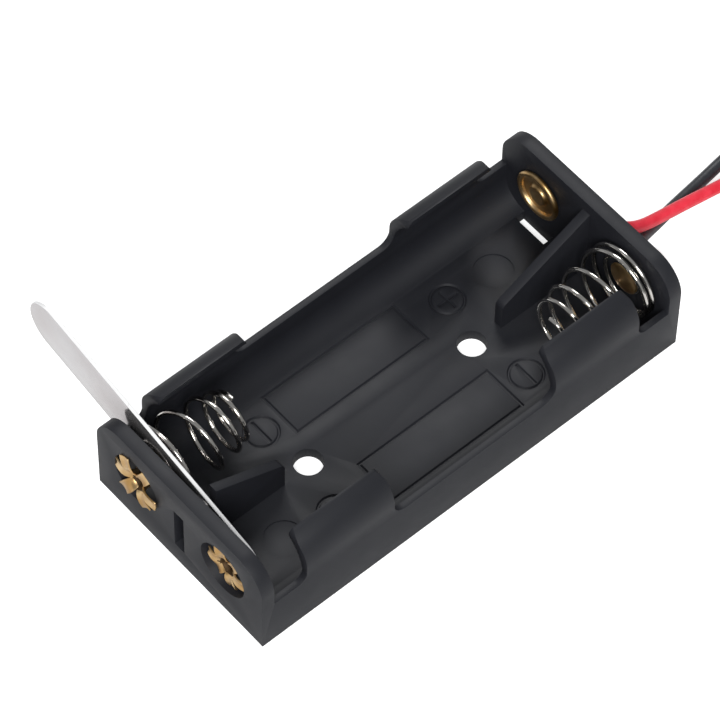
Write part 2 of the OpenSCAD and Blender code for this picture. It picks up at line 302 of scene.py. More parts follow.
def vary_colour(material, source, low, high):
    ramp = material.node_tree.nodes.new("ShaderNodeValToRGB")
    low_stop, high_stop = ramp.color_ramp.elements
    low_stop.position, low_stop.color = NOISE_LOW, low
    high_stop.position, high_stop.color = NOISE_HIGH, high
    link(material.node_tree, source, ramp.inputs["Fac"])
    link(material.node_tree, ramp.outputs["Color"], shader_of(material).inputs["Base Color"])


def vary_roughness(material, source, low, high):
    spread = material.node_tree.nodes.new("ShaderNodeMapRange")
    spread.inputs["From Min"].default_value = NOISE_LOW
    spread.inputs["From Max"].default_value = NOISE_HIGH
    spread.inputs["To Min"].default_value = low
    spread.inputs["To Max"].default_value = high
    link(material.node_tree, source, spread.inputs["Value"])
    link(material.node_tree, spread.outputs["Result"], shader_of(material).inputs["Roughness"])


def add_bump(material, source, strength, depth_mm):
    bump = material.node_tree.nodes.new("ShaderNodeBump")
    bump.inputs["Strength"].default_value = strength
    bump.inputs["Distance"].default_value = depth_mm * MM
    link(material.node_tree, source, bump.inputs["Height"])
    link(material.node_tree, bump.outputs["Normal"], shader_of(material).inputs["Normal"])


print("pure red in linear light:", linear(255, 0, 0))

# %% [markdown]
# ## The leads' insulation
#
# Both leads have the same soft plastic in two colours, so one function makes both finishes: a thin
# clear coat, faint clouds in the colour and a fine unevenness in roughness and surface.

# %% Insulation
def insulation(name, low, high):
    material = finish(name, {"Specular IOR Level": 0.5, "Coat Weight": 0.15,
                             "Coat Roughness": 0.3})
    vary_colour(material, pattern(material, 900), low, high)
    vary_roughness(material, pattern(material, 2500), 0.32, 0.48)
    add_bump(material, pattern(material, 5000), 0.25, 0.02)
    return material


red_insulation = insulation("red_insulation", linear(232, 38, 58), linear(250, 58, 78))
black_insulation = insulation("black_insulation", linear(34, 37, 41), linear(48, 51, 56))
print("made", red_insulation.name, "and", black_insulation.name)

# %% [markdown]
# ## The two leads
#
# Each lead is 150 mm of thin insulated wire, soldered to a rivet on the far end wall. It leaves
# sideways across the rivet, turns out and comes down to the table in a loose curve, and the rest
# lies in a flat round coil a little further on. The route is a list of points, as in the solid
# model; a smooth curve goes through them, and a spiral goes on from there until all 150 mm is used.

# %% Routes of the leads
LEAD_Y = SOLDER_Y + 0.06 + LEAD_R    # the routes' outward distances count from here
REST_Z = 0.68                        # the middle of a lead that lies on the table
ROUTE_STEPS = 6                      # short pieces between two points of a route
COIL_START_R = 9.45                  # middle of the outermost turn
COIL_PITCH = 1.4                     # from one turn to the next
COIL_STEP = 6                        # degrees between two points of the spiral
red_route = [
    (-RIVET_X, 0, RIVET_Z), (-4.8, 0, 6.6), (-3, 0, 6.55), (-1.2, 0.1, 6.4), (0.2, 0.5, 6.2),
    (1.25, 1.3, 5.9), (1.9, 2.4, 5.5), (2.2, 3.8, 5.05), (2.25, 6.1, 4.4), (2.2, 9.1, 3.5),
    (2.1, 12.6, 2.3), (2.05, 15.6, 1.35), (2, 18.1, 0.85), (2, 20.6, REST_Z), (2, 24.1, REST_Z),
]
black_route = [
    (RIVET_X, 0, RIVET_Z), (5.3, 0.1, 6.35), (4.3, 0.55, 5.8), (3.5, 1.4, 5.05),
    (2.9, 2.5, 4.25), (2.35, 3.9, 3.5), (1.85, 5.6, 2.8), (1.3, 7.8, 2.2), (0.7, 10.6, 1.6),
    (0.15, 13.6, 1.1), (-0.35, 16.6, 0.8), (-0.75, 19.6, REST_Z), (-1.1, 23.6, REST_Z),
    (-1.2, 27.6, REST_Z), (-1.2, 31.6, REST_Z), (-1.2, 35.6, REST_Z), (-1.2, 41.5, REST_Z),
]


def smooth_line(points, steps):
    """A curve through all the points, with steps short pieces between each two."""
    ends = [2 * points[0] - points[1], *points, 2 * points[-1] - points[-2]]
    line = []
    for a, b, c, d in zip(ends, ends[1:], ends[2:], ends[3:]):
        for i in range(steps):
            t = i / steps
            line.append(0.5 * (2 * b + (c - a) * t + (2 * a - 5 * b + 4 * c - d) * t ** 2
                               + (3 * b - 3 * c + d - a) * t ** 3))
    return line + [points[-1]]


def length_of(line):
    return sum((q - p).length for p, q in zip(line, line[1:]))


def coiled_lead(route, turn):
    """The route, then a flat spiral inwards. Turn is 1 where the coil lies on the +X side."""
    line = smooth_line([mm(x, y + LEAD_Y, z) for x, y, z in route], ROUTE_STEPS)
    left = LEAD_LENGTH * MM - length_of(line)
    centre = line[-1] + Vector((turn * COIL_START_R * MM, 0, 0))
    start = math.pi if turn > 0 else 0
    angle = 0
    while left > 0:
        angle += math.radians(COIL_STEP)
        radius = (COIL_START_R - COIL_PITCH * angle / (2 * math.pi)) * MM
        a = start - turn * angle
        spot = centre + Vector((radius * math.cos(a), radius * math.sin(a), 0))
        step = (spot - line[-1]).length
        if step > left:
            spot = line[-1] + (spot - line[-1]) * (left / step)
        left -= step
        line.append(spot)
    print(f"lead: {length_of(line) / MM:.1f} mm in all, {angle / (2 * math.pi):.2f} turns coiled,"
          f" ends at {[round(c / MM, 1) for c in line[-1]]}")
    return line


red_line = coiled_lead(red_route, 1)
black_line = coiled_lead(black_route, -1)

# %% [markdown]
# ## The tinned ends
#
# Strands of copper dipped in solder make a stiff bare end on each lead. It is a rod with a faint
# twist and a rounded tip, and it goes on from the last turn, inside the coil.

# %% Leads and their tinned ends
TIN_R = 0.42
TIN_LENGTH = 5.0
TIN_INSIDE = 0.3     # this much more of it is hidden in the insulation
TIN_STEPS = 24
TIN_BEND = 0.035     # how fast it turns inwards, per mm
TIN_TIP = 0.85       # share of its length where the tip begins
TIN_TAPER = 0.45     # how much thinner it is at the very end
STRANDS = 7
STRAND_RISE = 0.05   # how far a strand stands out, as a share of the radius
TWIST = 14           # radians that the strands turn over the whole length
tinned = finish("tinned_strands", {"Metallic": 1.0, "Specular IOR Level": 0.5})
vary_colour(tinned, pattern(tinned, 1500), linear(176, 178, 182), linear(214, 215, 218))
vary_roughness(tinned, pattern(tinned, 3000), 0.22, 0.4)
add_bump(tinned, pattern(tinned, 4000), 0.3, 0.03)


def tinned_end(name, line, turn):
    """A rod with a ridge for each twisted strand, bending inwards from the lead's last turn."""
    ahead = (line[-1] - line[-2]).normalized()
    inward = Vector((ahead.y, -ahead.x, 0)) * turn
    places = [-TIN_INSIDE + (TIN_LENGTH + TIN_INSIDE) * i / TIN_STEPS
              for i in range(TIN_STEPS + 1)]
    rod = [line[-1] + ahead * (s * MM) + inward * (TIN_BEND * s * s * MM) for s in places]
    obj = wire(name, rod, TIN_R * MM, sides=18, material=tinned)
    span = rod[-1] - rod[0]
    sideways = span.cross(Vector((0, 0, 1))).normalized()
    for vertex in obj.data.vertices:
        share = (vertex.co - rod[0]).dot(span) / span.dot(span)
        centre = rod[0] + span * share
        off = vertex.co - centre
        around = math.atan2(off.z, off.dot(sideways))
        taper = 1 - TIN_TAPER * max(0, (share - TIN_TIP) / (1 - TIN_TIP)) ** 2
        ridges = 1 + STRAND_RISE * math.cos(STRANDS * around + TWIST * share)
        vertex.co = centre + off * taper * ridges
    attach(obj, "holder")
    return obj


for colour, line, turn, material in (
    ("red", red_line, 1, red_insulation),
    ("black", black_line, -1, black_insulation),
):
    lead = wire(f"{colour}_insulated_lead", line, LEAD_R * MM, sides=16, material=material)
    end = tinned_end(f"{colour}_stripped_end", line, turn)
    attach(lead, "holder")
    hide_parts(f"{colour}_lead", f"{colour}_coil")
    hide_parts(f"{colour}_tinned_end")
    print(lead.name, len(lead.data.vertices), "vertices")

# %% [markdown]
# ## Table and light
#
# Small black objects are pictured on a lit white table. The floor here is a plain pale plane that
# also glows a little for the camera alone, so it comes out white and still keeps the holder's
# shadow. Two broad soft lamps and a pale surrounding do the rest.

# %% Floor and surrounding
TABLE_HALF = 3          # metres from its middle to its edges
TABLE_Z = -0.02 * MM    # just under the tray, so that no two surfaces share one plane
TABLE_GLOW = 0.7
SOFT_LIGHT = 0.27       # strength of the light that comes from all round


def glow_for_camera(tree, strength):
    """An emission that is seen directly or through something clear, and lights nothing."""
    path = tree.nodes.new("ShaderNodeLightPath")
    either = tree.nodes.new("ShaderNodeMath")
    either.operation = "MAXIMUM"
    scale = tree.nodes.new("ShaderNodeMath")
    scale.operation = "MULTIPLY"
    scale.inputs[1].default_value = strength
    glow = tree.nodes.new("ShaderNodeEmission")
    link(tree, path.outputs["Is Camera Ray"], either.inputs[0])
    link(tree, path.outputs["Is Transmission Ray"], either.inputs[1])
    link(tree, either.outputs["Value"], scale.inputs[0])
    link(tree, scale.outputs["Value"], glow.inputs["Strength"])
    return glow.outputs["Emission"]


table_finish = bpy.data.materials.new("white_table")
table_finish.use_nodes = True
tree = table_finish.node_tree
tree.nodes.clear()
matt = tree.nodes.new("ShaderNodeBsdfDiffuse")
matt.inputs["Color"].default_value = (0.86, 0.86, 0.86, 1)
both = tree.nodes.new("ShaderNodeAddShader")
out = tree.nodes.new("ShaderNodeOutputMaterial")
link(tree, matt.outputs["BSDF"], both.inputs[0])
link(tree, glow_for_camera(tree, TABLE_GLOW), both.inputs[1])
link(tree, both.outputs["Shader"], out.inputs["Surface"])

table_mesh = bpy.data.meshes.new("table")
corners = [(x * TABLE_HALF, y * TABLE_HALF, TABLE_Z)
           for x, y in ((-1, -1), (1, -1), (1, 1), (-1, 1))]
table_mesh.from_pydata(corners, [], [(0, 1, 2, 3)])
table_mesh.materials.append(table_finish)
table = add_object("table", table_mesh)
table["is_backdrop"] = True

world = bpy.data.worlds.new("surrounding")
bpy.context.scene.world = world
world.use_nodes = True
tree = world.node_tree
tree.nodes.clear()
soft = tree.nodes.new("ShaderNodeBackground")
soft.inputs["Color"].default_value = (0.96, 0.98, 1.0, 1)
soft.inputs["Strength"].default_value = SOFT_LIGHT
white = tree.nodes.new("ShaderNodeBackground")
white.inputs["Strength"].default_value = 1.0
path = tree.nodes.new("ShaderNodeLightPath")
choose = tree.nodes.new("ShaderNodeMixShader")
out = tree.nodes.new("ShaderNodeOutputWorld")
link(tree, path.outputs["Is Camera Ray"], choose.inputs["Fac"])
link(tree, soft.outputs["Background"], choose.inputs[1])
link(tree, white.outputs["Background"], choose.inputs[2])
link(tree, choose.outputs["Shader"], out.inputs["Surface"])
bpy.context.scene.view_settings.view_transform = "Standard"
print("table and surrounding ready")

# %% [markdown]
# ## Two lamps
#
# A lamp that is large for its distance gives soft shadows. The stronger one stands over the near
# right, and a weaker one over the far left opens the shadows a little. A lamp shines along its own
# downward axis, so each is turned until that axis points at the holder.

# %% Lamps
def soft_lamp(name, spot, size, watts):
    data = bpy.data.lights.new(name, "AREA")
    data.shape = "DISK"
    data.size = size
    data.energy = watts
    lamp = add_object(name, data)
    lamp.location = spot
    lamp.rotation_euler = (-Vector(spot)).to_track_quat("-Z", "Y").to_euler()
    return lamp


lamps = [
    soft_lamp("lamp_over_the_near_right", (0.55, -0.50, 0.75), 0.5, 9.2),
    soft_lamp("lamp_over_the_far_left", (-0.45, 0.35, 0.70), 0.35, 3.0),
]
print("lamps:", [lamp.name for lamp in lamps])

# %% [markdown]
# ## Finishes, part two: moulded plastic and metals
#
# The tray is black polystyrene from a lightly sparked mould: dark and satin, with a grain of about
# a tenth of a millimetre and faint cloudy patches. The strip and the springs are nickel on steel,
# and the strip's edge faces are painted near-white as a painted highlight. The rivets are bare
# brass, and a dark brass is painted in their bores as shade.

# %% Plastic, nickel, brass and solder
tray_plastic = finish("sparked_black_plastic", {"Specular IOR Level": 0.34})
vary_colour(tray_plastic, pattern(tray_plastic, 260, detail=4),
            linear(30, 31, 36), linear(33, 34, 39))
vary_roughness(tray_plastic, pattern(tray_plastic, 300), 0.5, 0.55)
add_bump(tray_plastic, pattern(tray_plastic, 9000, detail=2), 0.35, 0.012)

spring_nickel = finish("bright_nickel_wire", {"Metallic": 1.0})
vary_colour(spring_nickel, pattern(spring_nickel, 500),
            linear(206, 202, 196), linear(232, 229, 224))
vary_roughness(spring_nickel, pattern(spring_nickel, 900), 0.1, 0.16)
add_bump(spring_nickel, pattern(spring_nickel, 2400, stretch=(1, 0.4, 1)), 0.03, 0.01)

strip_nickel = finish("rolled_nickel_strip", {"Metallic": 0.85, "Specular IOR Level": 0.6})
vary_colour(strip_nickel, pattern(strip_nickel, 160, detail=5),
            linear(196, 190, 190), linear(212, 210, 211))
vary_roughness(strip_nickel, pattern(strip_nickel, 420, stretch=(0.25, 1, 1)), 0.1, 0.24)
add_bump(strip_nickel, pattern(strip_nickel, 900, stretch=(0.08, 1, 1)), 0.25, 0.008)

# Near-white and hardly metallic: a painted highlight along the strip's edges.
painted_edge_highlight = finish("nickel_edge_with_painted_highlight", {"Metallic": 0.1, "Specular IOR Level": 0.6})
vary_colour(painted_edge_highlight, pattern(painted_edge_highlight, 300), linear(240, 240, 240), linear(250, 250, 250))
vary_roughness(painted_edge_highlight, pattern(painted_edge_highlight, 900), 0.25, 0.4)

rivet_brass = finish("pressed_brass", {"Metallic": 1.0})
vary_colour(rivet_brass, pattern(rivet_brass, 500, detail=2),
            linear(180, 138, 78), linear(230, 200, 152))
vary_roughness(rivet_brass, pattern(rivet_brass, 900), 0.32, 0.42)
add_bump(rivet_brass, pattern(rivet_brass, 1500), 0.08, 0.012)

# Dark, rough brass for the insides of the bores and the petals' roots: painted shade, not a different
# metal.
painted_bore_shade = finish("brass_with_painted_bore_shade", {"Metallic": 0.6})
vary_colour(painted_bore_shade, pattern(painted_bore_shade, 700), linear(62, 46, 26), linear(84, 62, 36))
vary_roughness(painted_bore_shade, pattern(painted_bore_shade, 900), 0.55, 0.7)

solder_metal = finish("smooth_solder", {"Metallic": 1.0})
vary_colour(solder_metal, pattern(solder_metal, 900), linear(182, 184, 188), linear(216, 218, 222))
vary_roughness(solder_metal, pattern(solder_metal, 1600), 0.18, 0.34)
add_bump(solder_metal, pattern(solder_metal, 700), 0.4, 0.08)
print("finishes:", sorted(m.name for m in bpy.data.materials))

# %% [markdown]
# ## Marks in the tray's floor
#
# A mould maker engraves a few signs in the floor: a frame in each bay, and a ring with a plus or a
# minus at each end of it. They are shallow grooves. Here each one is a thin ridge with a narrow
# foot and a wide top, all the ridges are one mesh, and a Boolean takes them out of the floor.

# %% Grooves
GROOVE_W, GROOVE_D = 0.3, 0.2
GROOVE_TOP, GROOVE_FOOT = 1.9, 0.45    # the ridge's widths above and below the floor, per GROOVE_W
RING_R, RING_STEPS = 1.7, 48
PLUS_REACH, PLUS_GAP = 1.2, 0.14       # half of a plus, and the gap between its bars
MINUS_REACH = 1.45
frames = [(3.3, -6.9, 8.4, 9.4), (-8.36, -8.97, -3.25, 7.5)]
marks = [(5.98, 12.07, "minus"), (-5.5, -11.6, "minus"), (-5.4, 12.0, "plus"), (5.8, -12.0, "plus")]


def ridge(work, spots, closed=False):
    """Adds a ridge along flat points, in mm. A closed one joins its ends, an open one caps them."""
    n = len(spots)
    flat = [Vector((x, y, 0)) for x, y in spots]
    low, high = FLOOR_Z - GROOVE_D, FLOOR_Z + GROOVE_D
    foot, top = GROOVE_W * GROOVE_FOOT, GROOVE_W * GROOVE_TOP
    rings = []
    for i, p in enumerate(flat):
        before = flat[i - 1] if closed or i else None
        after = flat[(i + 1) % n] if closed or i < n - 1 else None
        one = (p - before).normalized() if before is not None else None
        two = (after - p).normalized() if after is not None else None
        one, two = one or two, two or one
        side = Vector((-(one + two).y, (one + two).x, 0)).normalized()
        reach = 1 / max(0.3, side.dot(Vector((-one.y, one.x, 0))))
        rings.append([work.verts.new(mm(*(p + side * (reach * s * w / 2)).xy, z)) for s, w, z in (
            (-1, top, high), (1, top, high), (1, foot, low), (-1, foot, low))])
    for a, b in zip(rings, rings[1:] + rings[:1] if closed else rings[1:]):
        for k in range(4):
            work.faces.new((a[k], a[(k + 1) % 4], b[(k + 1) % 4], b[k]))
    if not closed:
        work.faces.new(rings[0][::-1])
        work.faces.new(rings[-1])


def circle_spots(x, y, r, count):
    angles = [2 * math.pi * i / count for i in range(count)]
    return [(x + r * math.cos(a), y + r * math.sin(a)) for a in angles]


work = bmesh.new()
for x0, y0, x1, y1 in frames:
    ridge(work, [(x0, y0), (x1, y0), (x1, y1), (x0, y1)], closed=True)
for x, y, sign in marks:
    ridge(work, circle_spots(x, y, RING_R, RING_STEPS), closed=True)
    if sign == "plus":
        ridge(work, [(x - PLUS_REACH, y), (x + PLUS_REACH, y)])
        ridge(work, [(x, y - PLUS_REACH), (x, y - PLUS_GAP)])
        ridge(work, [(x, y + PLUS_GAP), (x, y + PLUS_REACH)])
    else:
        ridge(work, [(x - MINUS_REACH, y), (x + MINUS_REACH, y)])
bmesh.ops.recalc_face_normals(work, faces=work.faces)
cutter_mesh = bpy.data.meshes.new("groove_cutter")
close_mesh(work, cutter_mesh)
print("groove cutter:", len(cutter_mesh.polygons), "faces")

# %% [markdown]
# ## The tray
#
# The solid tray has the right shape, and its mesh is loose triangles. A copy is merged into one
# skin, the grooves are cut in it, and a very small bevel rounds the sharp edges as a mould does,
# which is what lets them catch the light. The copy then stands for the solid.

# %% Helpers: copy, join flat faces, soften
SAME_SPOT = 0.002 * MM    # corners nearer than this are one corner
ENLARGED = 1 / MM         # while enlarged so much, one unit of the mesh is one millimetre
TRAY_EDGE = 0.09          # mm


def merged_copy(node, name):
    mesh = nodes[node].data.copy()
    mesh.name = name
    work = open_mesh(mesh)
    bmesh.ops.remove_doubles(work, verts=work.verts, dist=SAME_SPOT)
    bmesh.ops.dissolve_degenerate(work, edges=work.edges, dist=SAME_SPOT)
    close_mesh(work, mesh)
    mesh.materials.clear()
    return add_object(name, mesh)


def join_flat_faces(mesh, degrees):
    """Makes one face of neighbours that turn by less than this."""
    work = open_mesh(mesh)
    bmesh.ops.dissolve_limit(work, angle_limit=math.radians(degrees),
                             verts=work.verts, edges=work.edges)
    close_mesh(work, mesh)


def apply_modifiers(obj):
    mesh = evaluated_mesh(obj)
    obj.modifiers.clear()
    obj.data = mesh


def soften(obj, width, angle, segments):
    """Rounds each edge sharper than angle, by width in the units of the mesh."""
    bevel = obj.modifiers.new("soft edges", "BEVEL")
    bevel.width = width
    bevel.segments = segments
    bevel.limit_method = "ANGLE"
    bevel.angle_limit = math.radians(angle)
    bevel.miter_outer = "MITER_ARC"
    apply_modifiers(obj)


def resize(mesh, factor):
    """Booleans and bevels go wrong on edges of hundredths of a mm, so they work enlarged."""
    mesh.transform(Matrix.Scale(factor, 4))


print("faces of the solid tray:", len(nodes["tray"].data.polygons))

# %% [markdown]
# ## Cutting and rounding the tray
#
# The Boolean works on the enlarged copy, its flat faces are joined again, and the bevel comes last.
# Faces that meet at more than 40 degrees keep a crease, and the others shade into one another.

# %% Tray with grooves and soft edges
tray = merged_copy("tray", "moulded_tray")
cutter = add_object("groove_cutter", cutter_mesh)
resize(tray.data, ENLARGED)
resize(cutter_mesh, ENLARGED)
cut = tray.modifiers.new("grooves", "BOOLEAN")
cut.operation = "DIFFERENCE"
cut.solver = "EXACT"
cut.use_self = True
cut.object = cutter
apply_modifiers(tray)
bpy.data.objects.remove(cutter)
join_flat_faces(tray.data, degrees=0.6)
print("tray after the grooves:", len(tray.data.polygons), "faces")
soften(tray, TRAY_EDGE, angle=35, segments=2)
resize(tray.data, MM)
tray.data.materials.clear()
tray.data.materials.append(tray_plastic)
for polygon in tray.data.polygons:
    polygon.use_smooth = True
    polygon.material_index = 0
tray.data.set_sharp_from_angle(angle=math.radians(40))
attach(tray, "holder")
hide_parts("tray")
print("tray after the bevel:", len(tray.data.polygons), "faces")

# %% [markdown]
# ## The springs
#
# Each spring is one length of half-millimetre wire. Two small loops lie under the rivet's head,
# then the wire widens to full size and climbs as a cone to the tip that meets the cell. A table of
# turns gives the radius, another gives the height, and the wire tree carries the section along.

# %% The line of a spring
SPRING_TURNS, STEPS = 7, 48    # turns of the wire, and points in each
SPRING_FREE = 10.6             # from the wall to the tip at rest
WIRE_R = 0.25
AIR = 0.03                     # between the wire and what it lies beside
SNUG = 2 * WIRE_R + AIR        # from one turn to another beside it
LOOP_R, WIDE_R, TIP_R = 1.38, 4.0, 2.4
HIDDEN_R = 2.6                 # turns that stay out of sight behind the strip
free_radius = [(0, LOOP_R), (1, LOOP_R + SNUG), (1.6, WIDE_R), (3.4, WIDE_R), (7, TIP_R)]
strip_radius = [(0, LOOP_R), (1, LOOP_R + SNUG), (1.6, HIDDEN_R), (2.3, HIDDEN_R),
                (2.68, WIDE_R), (3.4, WIDE_R), (7, TIP_R)]
free_rise = [(1.2, 0), (2, 0.04), (3, 0.12), (4, 0.42), (5, 0.66), (6, 0.83), (7, 1)]
strip_rise = [(1.2, 0), (2.35, 0.036), (2.68, 0.168), (3.3, 0.18), (4, 0.5), (5, 0.78),
              (6, 0.93), (7, 1)]


def look_up(turn, table):
    if turn <= table[0][0]:
        return table[0][1]
    for (t0, v0), (t1, v1) in zip(table, table[1:]):
        if turn <= t1:
            return v0 + (v1 - v0) * (turn - t0) / (t1 - t0)
    return table[-1][1]


def out_of_wall(turn, rise):
    return WIRE_R + AIR + look_up(turn, rise) * (SPRING_FREE - SNUG)


def spring_line(x, side, radius, rise, first, last):
    """The wire's middle from one step to another. Side is 1 at the far wall and -1 at the near."""
    line = []
    for i in range(first, last + 1):
        t = i / STEPS
        r = look_up(t, radius)
        a = 2 * math.pi * t
        line.append(mm(x - side * r * math.sin(a), side * (WALL_Y - out_of_wall(t, rise)),
                       RIVET_Z + r * math.cos(a)))
    return line


print("height at each turn, mm:",
      [round(out_of_wall(turn, free_rise), 2) for turn in range(SPRING_TURNS + 1)])

# %% [markdown]
# ## Foot and cone
#
# When a cell presses a spring, its foot stays still at the end wall and the cone in front of it
# shortens, so foot and cone are two pieces. The near left foot has more turns than the far right
# one, because the link strip runs between it and its cone.

# %% Springs
for name, x, side, radius, rise, joint, foot_turns in (
    ("near_left_spring", -RIVET_X, -1, strip_radius, strip_rise, "near_spring_press", 2.58),
    ("far_right_spring", RIVET_X, 1, free_radius, free_rise, "far_spring_press", 1.21),
):
    foot = round(foot_turns * STEPS)
    for part, first, last in (
        ("cone_coil_foot", 0, foot),
        ("cone_coil", foot, SPRING_TURNS * STEPS),
    ):
        line = spring_line(x, side, radius, rise, first, last)
        coil = wire(name.replace("spring", part), line, WIRE_R * MM,
                    sides=12, material=spring_nickel)
        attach(coil, "holder")
        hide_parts(name)
        print(coil.name, len(coil.data.polygons), "faces")
    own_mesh(coil)

# %% [markdown]
# ## Turning a profile
#
# The barrels, heads and solder are round, so each is a profile of radius and height turned about
# the rivet's axis. The function below builds the rings by hand, ends in a point where the radius
# is nought, and counts the height outwards from the holder or into the bay.

# %% Helper: turned piece
def turned(name, profile, x, side, start_y, outward, material):
    """Profile is (radius, height) in mm. Height runs from start_y, outward or into the bay."""
    around = 64
    direction = side if outward else -side
    work = bmesh.new()
    rings = []
    for r, h in profile:
        y = side * start_y + direction * h
        if r < 1e-6:
            rings.append([work.verts.new(mm(x, y, RIVET_Z))])
        else:
            angles = [2 * math.pi * i / around for i in range(around)]
            rings.append([work.verts.new(mm(x + r * math.cos(a), y, RIVET_Z + r * math.sin(a)))
                          for a in angles])
    for a, b in zip(rings, rings[1:]):
        for i in range(around):
            j = (i + 1) % around
            corners = [a[i % len(a)], a[j % len(a)], b[j % len(b)], b[i % len(b)]]
            corners = list(dict.fromkeys(corners))
            if len(corners) > 2:
                work.faces.new(corners)
    bmesh.ops.recalc_face_normals(work, faces=work.faces)
    mesh = bpy.data.meshes.new(name)
    close_mesh(work, mesh)
    mesh.materials.append(material)
    for polygon in mesh.polygons:
        polygon.use_smooth = True
    mesh.set_sharp_from_angle(angle=math.radians(50))
    return add_object(name, mesh)


def from_axis(polygon, x):
    """How far a face's middle is from the axis of the rivet at x, in mm."""
    return math.hypot(polygon.center.x / MM - x, polygon.center.z / MM - RIVET_Z)


def arc(cx, cy, r, start, end, count):
    angles = [math.radians(start + (end - start) * i / count) for i in range(count + 1)]
    return [(cx + r * math.cos(a), cy + r * math.sin(a)) for a in angles]


print("a quarter arc:", [tuple(round(c, 2) for c in p) for p in arc(0, 0, 1, 0, 90, 3)])

# %% [markdown]
# ## Heads of the rivets
#
# The spring rivets have a plain domed head. The contact rivets have a dish with a rolled rim, a
# flat ring and a small raised hub, which is where the cell's cap touches. The profile goes up the
# barrel, over the head and back down the bore, whose faces take a dark brass as painted shade.

# %% Heads
BARREL_R, BORE_R = 1.1, 0.86
BARREL_IN = 0.6                # how deep both go into the wall
# Slot 1 holds the dark brass that is painted shade.
BRASS, PAINTED_SHADE_SLOT = 0, 1           # a rivet's material slots


def head_and_barrel(name, x, side, head):
    barrel = [(BORE_R, -BARREL_IN), (BARREL_R, -BARREL_IN), (BARREL_R, 0.03)]
    end = head[-1][1]
    bore = [(0.8, end - 0.02), (BORE_R, end - 0.1), (BORE_R, -BARREL_IN)]
    obj = turned(name, barrel + head + bore, x, side, start_y=WALL_Y, outward=False,
                 material=rivet_brass)
    obj.data.materials.append(painted_bore_shade)
    # Faces down the bore take the dark brass as painted shade.
    for polygon in obj.data.polygons:
        height = WALL_Y - side * polygon.center.y / MM
        if from_axis(polygon, x) < BORE_R + 0.001 and height < end + 0.01:
            polygon.material_index = PAINTED_SHADE_SLOT
    return obj


dome_head = [(BARREL_R, 0.56), (1.74, 0.56), (1.8, 0.6), (1.8, 0.66), (1.72, 0.72), (1.45, 0.81),
             (1.1, 0.89), (0.7, 0.935), (0.35, 0.955), (0, 0.96), (0, 0.5)]
dish_head = ([(1.5, 0.03), (2.45, 0.03)] + arc(2.55, 0.40, 0.3, -80, 170, 12)
             + [(2.2, 0.27), (1.9, 0.24), (1.5, 0.24), (1.28, 0.27)]
             + arc(0.93, 0.38, 0.24, 20, 120, 6)
             + [(0.62, 0.5), (0.35, 0.44), (0, 0.42), (0, 0.32)])

heads = {}
for node, x, side, head in (
    ("near_left_rivet", -RIVET_X, -1, dome_head),
    ("far_right_rivet", RIVET_X, 1, dome_head),
    ("near_right_contact", RIVET_X, -1, dish_head),
    ("far_left_contact", -RIVET_X, 1, dish_head),
):
    heads[node] = head_and_barrel(node + "_head", x, side, head)
    print(heads[node].name, len(heads[node].data.polygons), "faces")

# %% [markdown]
# ## Petals, repeated round the rivet with Geometry Nodes
#
# The split end of the barrel is spread into six petals, and no two bend quite alike. One petal is
# made by hand as a strip that starts along the barrel and flares outwards. The tree sets copies of
# it round the rivet's axis, and a seeded random turn and size make each one a little different.

